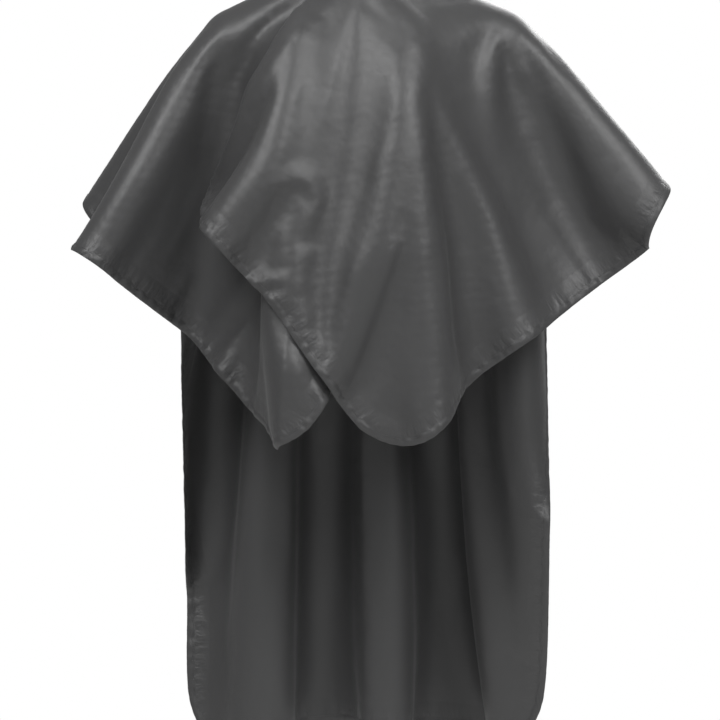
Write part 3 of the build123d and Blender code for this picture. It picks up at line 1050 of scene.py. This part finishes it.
def strap(name):
    """A flat strap with soft, slightly fuller edges, as cloth turned round an interlining."""
    sewn_end = [LAP_START + SEWN_RADIUS / LAP_OUTER * k for k in SEWN_RINGS]
    tip = [LAP_END - TIP_RADIUS / LAP_OUTER * k for k in TIP_RINGS]
    between = np.arange(LAP_START + 2.0 * MM / LAP_OUTER, tip[0], 0.9 * MM / LAP_OUTER)
    angles = sewn_end + list(between) + tip
    middle, half_depth = (LAP_INNER + LAP_OUTER) / 2, (LAP_OUTER - LAP_INNER) / 2
    centre = (lap_low + lap_high) / 2
    across = 22
    rows = []
    for angle in angles:
        half = lap_half_height(angle)
        end = min((LAP_END - angle) * LAP_OUTER, (angle - LAP_START) * LAP_OUTER + 0.3 * MM) / (0.9 * MM)
        depth = half_depth * math.sqrt(max(0.0, 1 - max(0.0, 1 - end) ** 2))
        ring = []
        for k in range(across):
            t = 2 * math.pi * k / across
            c, s = math.cos(t), math.sin(t)
            z = half * math.copysign(abs(s) ** 0.35, s)
            r = depth * math.copysign(abs(c) ** 0.35, c)
            # the stitches draw it in along a line beside its edge
            from_stitches = (half - abs(z) - 2.0 * MM) / (0.7 * MM)
            dip = 0.22 * MM * math.exp(-from_stitches ** 2) if r > 0 else 0
            r -= dip * (depth / half_depth)
            ring.append(around(angle, middle + r, centre + z))
        rows.append(ring)
    grid = np.array(rows)
    faces = band_grid(grid.shape[:2], False, True)
    faces.append(list(range(across)))
    faces.append([(len(angles) - 1) * across + k for k in range(across)][::-1])
    return make_piece(name, grid.reshape(-1, 3), faces, band)


closure_strap = strap("closure_strap")


def strap_path(inset, pitch):
    """Centres and directions of stitches round the strap, an inset from its edge."""
    centre = (lap_low + lap_high) / 2
    half = (lap_high - lap_low) / 2 - inset
    a = LAP_START + inset / LAP_OUTER
    b = LAP_END - inset / LAP_OUTER
    reach, radius = (b - a) * LAP_OUTER, TIP_RADIUS - inset
    corners = [(0, -half, 0), (reach, -half, radius), (reach, half, radius), (0, half, 0), (0, -half, 0)]
    line = rounded(corners, pitch)
    ahead = units(np.gradient(line, axis=0))
    spots, along_it, up = [], [], []
    for (s, h), (ds, dh) in zip(line[1:-1], ahead[1:-1]):
        angle = a + s / LAP_OUTER
        out = around(angle, 1, 0)
        round_it = np.array((math.cos(angle), -math.sin(angle), 0))
        spots.append(around(angle, LAP_OUTER - 0.12 * MM, centre + h))
        along_it.append(unit(round_it * ds + np.array((0, 0, dh))))
        up.append(out)
    return np.array(spots), np.array(along_it), np.array(up)


strap_threads = stitch_row("closure_strap_stitching", *strap_path(2.0 * MM, 2.6 * MM), 1.8 * MM)
for piece in (closure_strap, strap_threads):
    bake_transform(piece)
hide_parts("neckband_overlap", "closure_tab")

# ---- care label: a blank satin ribbon caught in the seam below the band --
label_low, label_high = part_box("care_label")
LABEL_TOP = band_low + 0.6 * MM
LABEL_HALF = (label_high.x - label_low.x) / 2


def ribbon(name):
    """The label's ribbon, curling a little towards its free end."""
    columns, rows = 15, 40
    half = 0.2 * MM
    middle_y = (label_low.y + label_high.y) / 2
    sides = []
    for face in (1, -1):
        grid = []
        for j in range(rows):
            t = j / (rows - 1)
            z = LABEL_TOP + (label_low.z - LABEL_TOP) * t
            for k in range(columns):
                s = 2 * k / (columns - 1) - 1
                curl = 0.9 * s * s + 0.5 * math.sin(3.4 * t + 0.6) + 0.25 * ripple(s * 2, t * 4, 9)
                y = middle_y - 0.4 * MM * (1 - t) - curl * MM * t - 1.2 * MM * max(0, t - 0.8)
                grid.append((s * LABEL_HALF, y + face * half, z))
        sides.append(grid)
    points = sides[0] + sides[1]
    size = rows * columns
    front = band_grid((rows, columns))
    faces = front + [(a + size, d + size, c + size, b + size) for a, b, c, d in front]
    faces += [(b, a, a + size, b + size) for a, b in rim_edges(np.array(front))]
    return make_piece(name, points, faces, label_tape)


care_ribbon = ribbon("care_ribbon")
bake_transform(care_ribbon)
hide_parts("care_label")

# ---- small CAD parts keep their shape -----------------------------------
FINISHES = {
    "neckband_stiffener": stiffener, "neckband_stitching": thread, "snap_socket": snap_resin,
    "snap_cap": snap_resin, "snap_studs": snap_resin, "snap_stud_backs": snap_resin,
}
for name, finish in FINISHES.items():
    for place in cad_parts[name].material_slots:
        place.material = finish

# ---- floor, light and camera --------------------------------------------
FLOOR_Z, FLOOR_RADIUS, FLOOR_SIDES = -1.45, 2.3, 96
floor_mesh = bpy.data.meshes.new("floor")
turns = np.linspace(0, 2 * math.pi, FLOOR_SIDES + 1)[1:]
rim = [(FLOOR_RADIUS * math.sin(a), FLOOR_RADIUS * math.cos(a), FLOOR_Z) for a in turns]
floor_mesh.from_pydata(rim[::-1], [], [list(range(FLOOR_SIDES))])
floor_mesh.materials.append(grained("floor_paint", (0.80, 0.80, 0.79), 0.6, **PLAIN))
floor = bpy.data.objects.new("floor", floor_mesh)
bpy.context.scene.collection.objects.link(floor)

world = bpy.data.worlds.new("studio")
world.use_nodes = True
bpy.context.scene.world = world
shade = world.node_tree
surround = shade.nodes["Background"]
surround.inputs["Color"].default_value = (1, 1, 1, 1)
seen = shade.nodes.new("ShaderNodeLightPath")
level = shade.nodes.new("ShaderNodeMapRange")
level.inputs["To Min"].default_value = 0.24      # on the cape
level.inputs["To Max"].default_value = 1.0       # as the camera sees it
shade.links.new(seen.outputs["Is Camera Ray"], level.inputs["Value"])
shade.links.new(level.outputs["Result"], surround.inputs["Strength"])


def soft_light(name, place, target, size, power):
    data = bpy.data.lights.new(name, "AREA")
    data.shape = "RECTANGLE"
    data.size, data.size_y = size
    data.energy = power
    lamp = bpy.data.objects.new(name, data)
    lamp.location = place
    lamp.rotation_euler = (Vector(target) - Vector(place)).to_track_quat("-Z", "Y").to_euler()
    bpy.context.scene.collection.objects.link(lamp)


# Name, place, target, size and watts
soft_light("key", (-1.4, -2.2, 1.9), (0, 0, -0.35), (1.3, 1.3), 62)
soft_light("fill", (1.6, -2.2, 1.6), (0, 0, -0.35), (1.2, 1.3), 54)
soft_light("rear", (1.0, 2.4, 1.4), (0, 0, -0.4), (2.0, 1.6), 55)

camera = bpy.data.cameras.new("camera")
camera.sensor_width = 36
camera.lens = 153.85
camera.clip_end = 50
eye = bpy.data.objects.new("camera", camera)
eye.location = (-0.0065, -4.18, -0.537)
eye.rotation_euler = (math.pi / 2, 0, 0)
bpy.context.scene.collection.objects.link(eye)
bpy.context.scene.camera = eye
bpy.context.scene.view_settings.view_transform = "Standard"

bpy.context.view_layer.update()
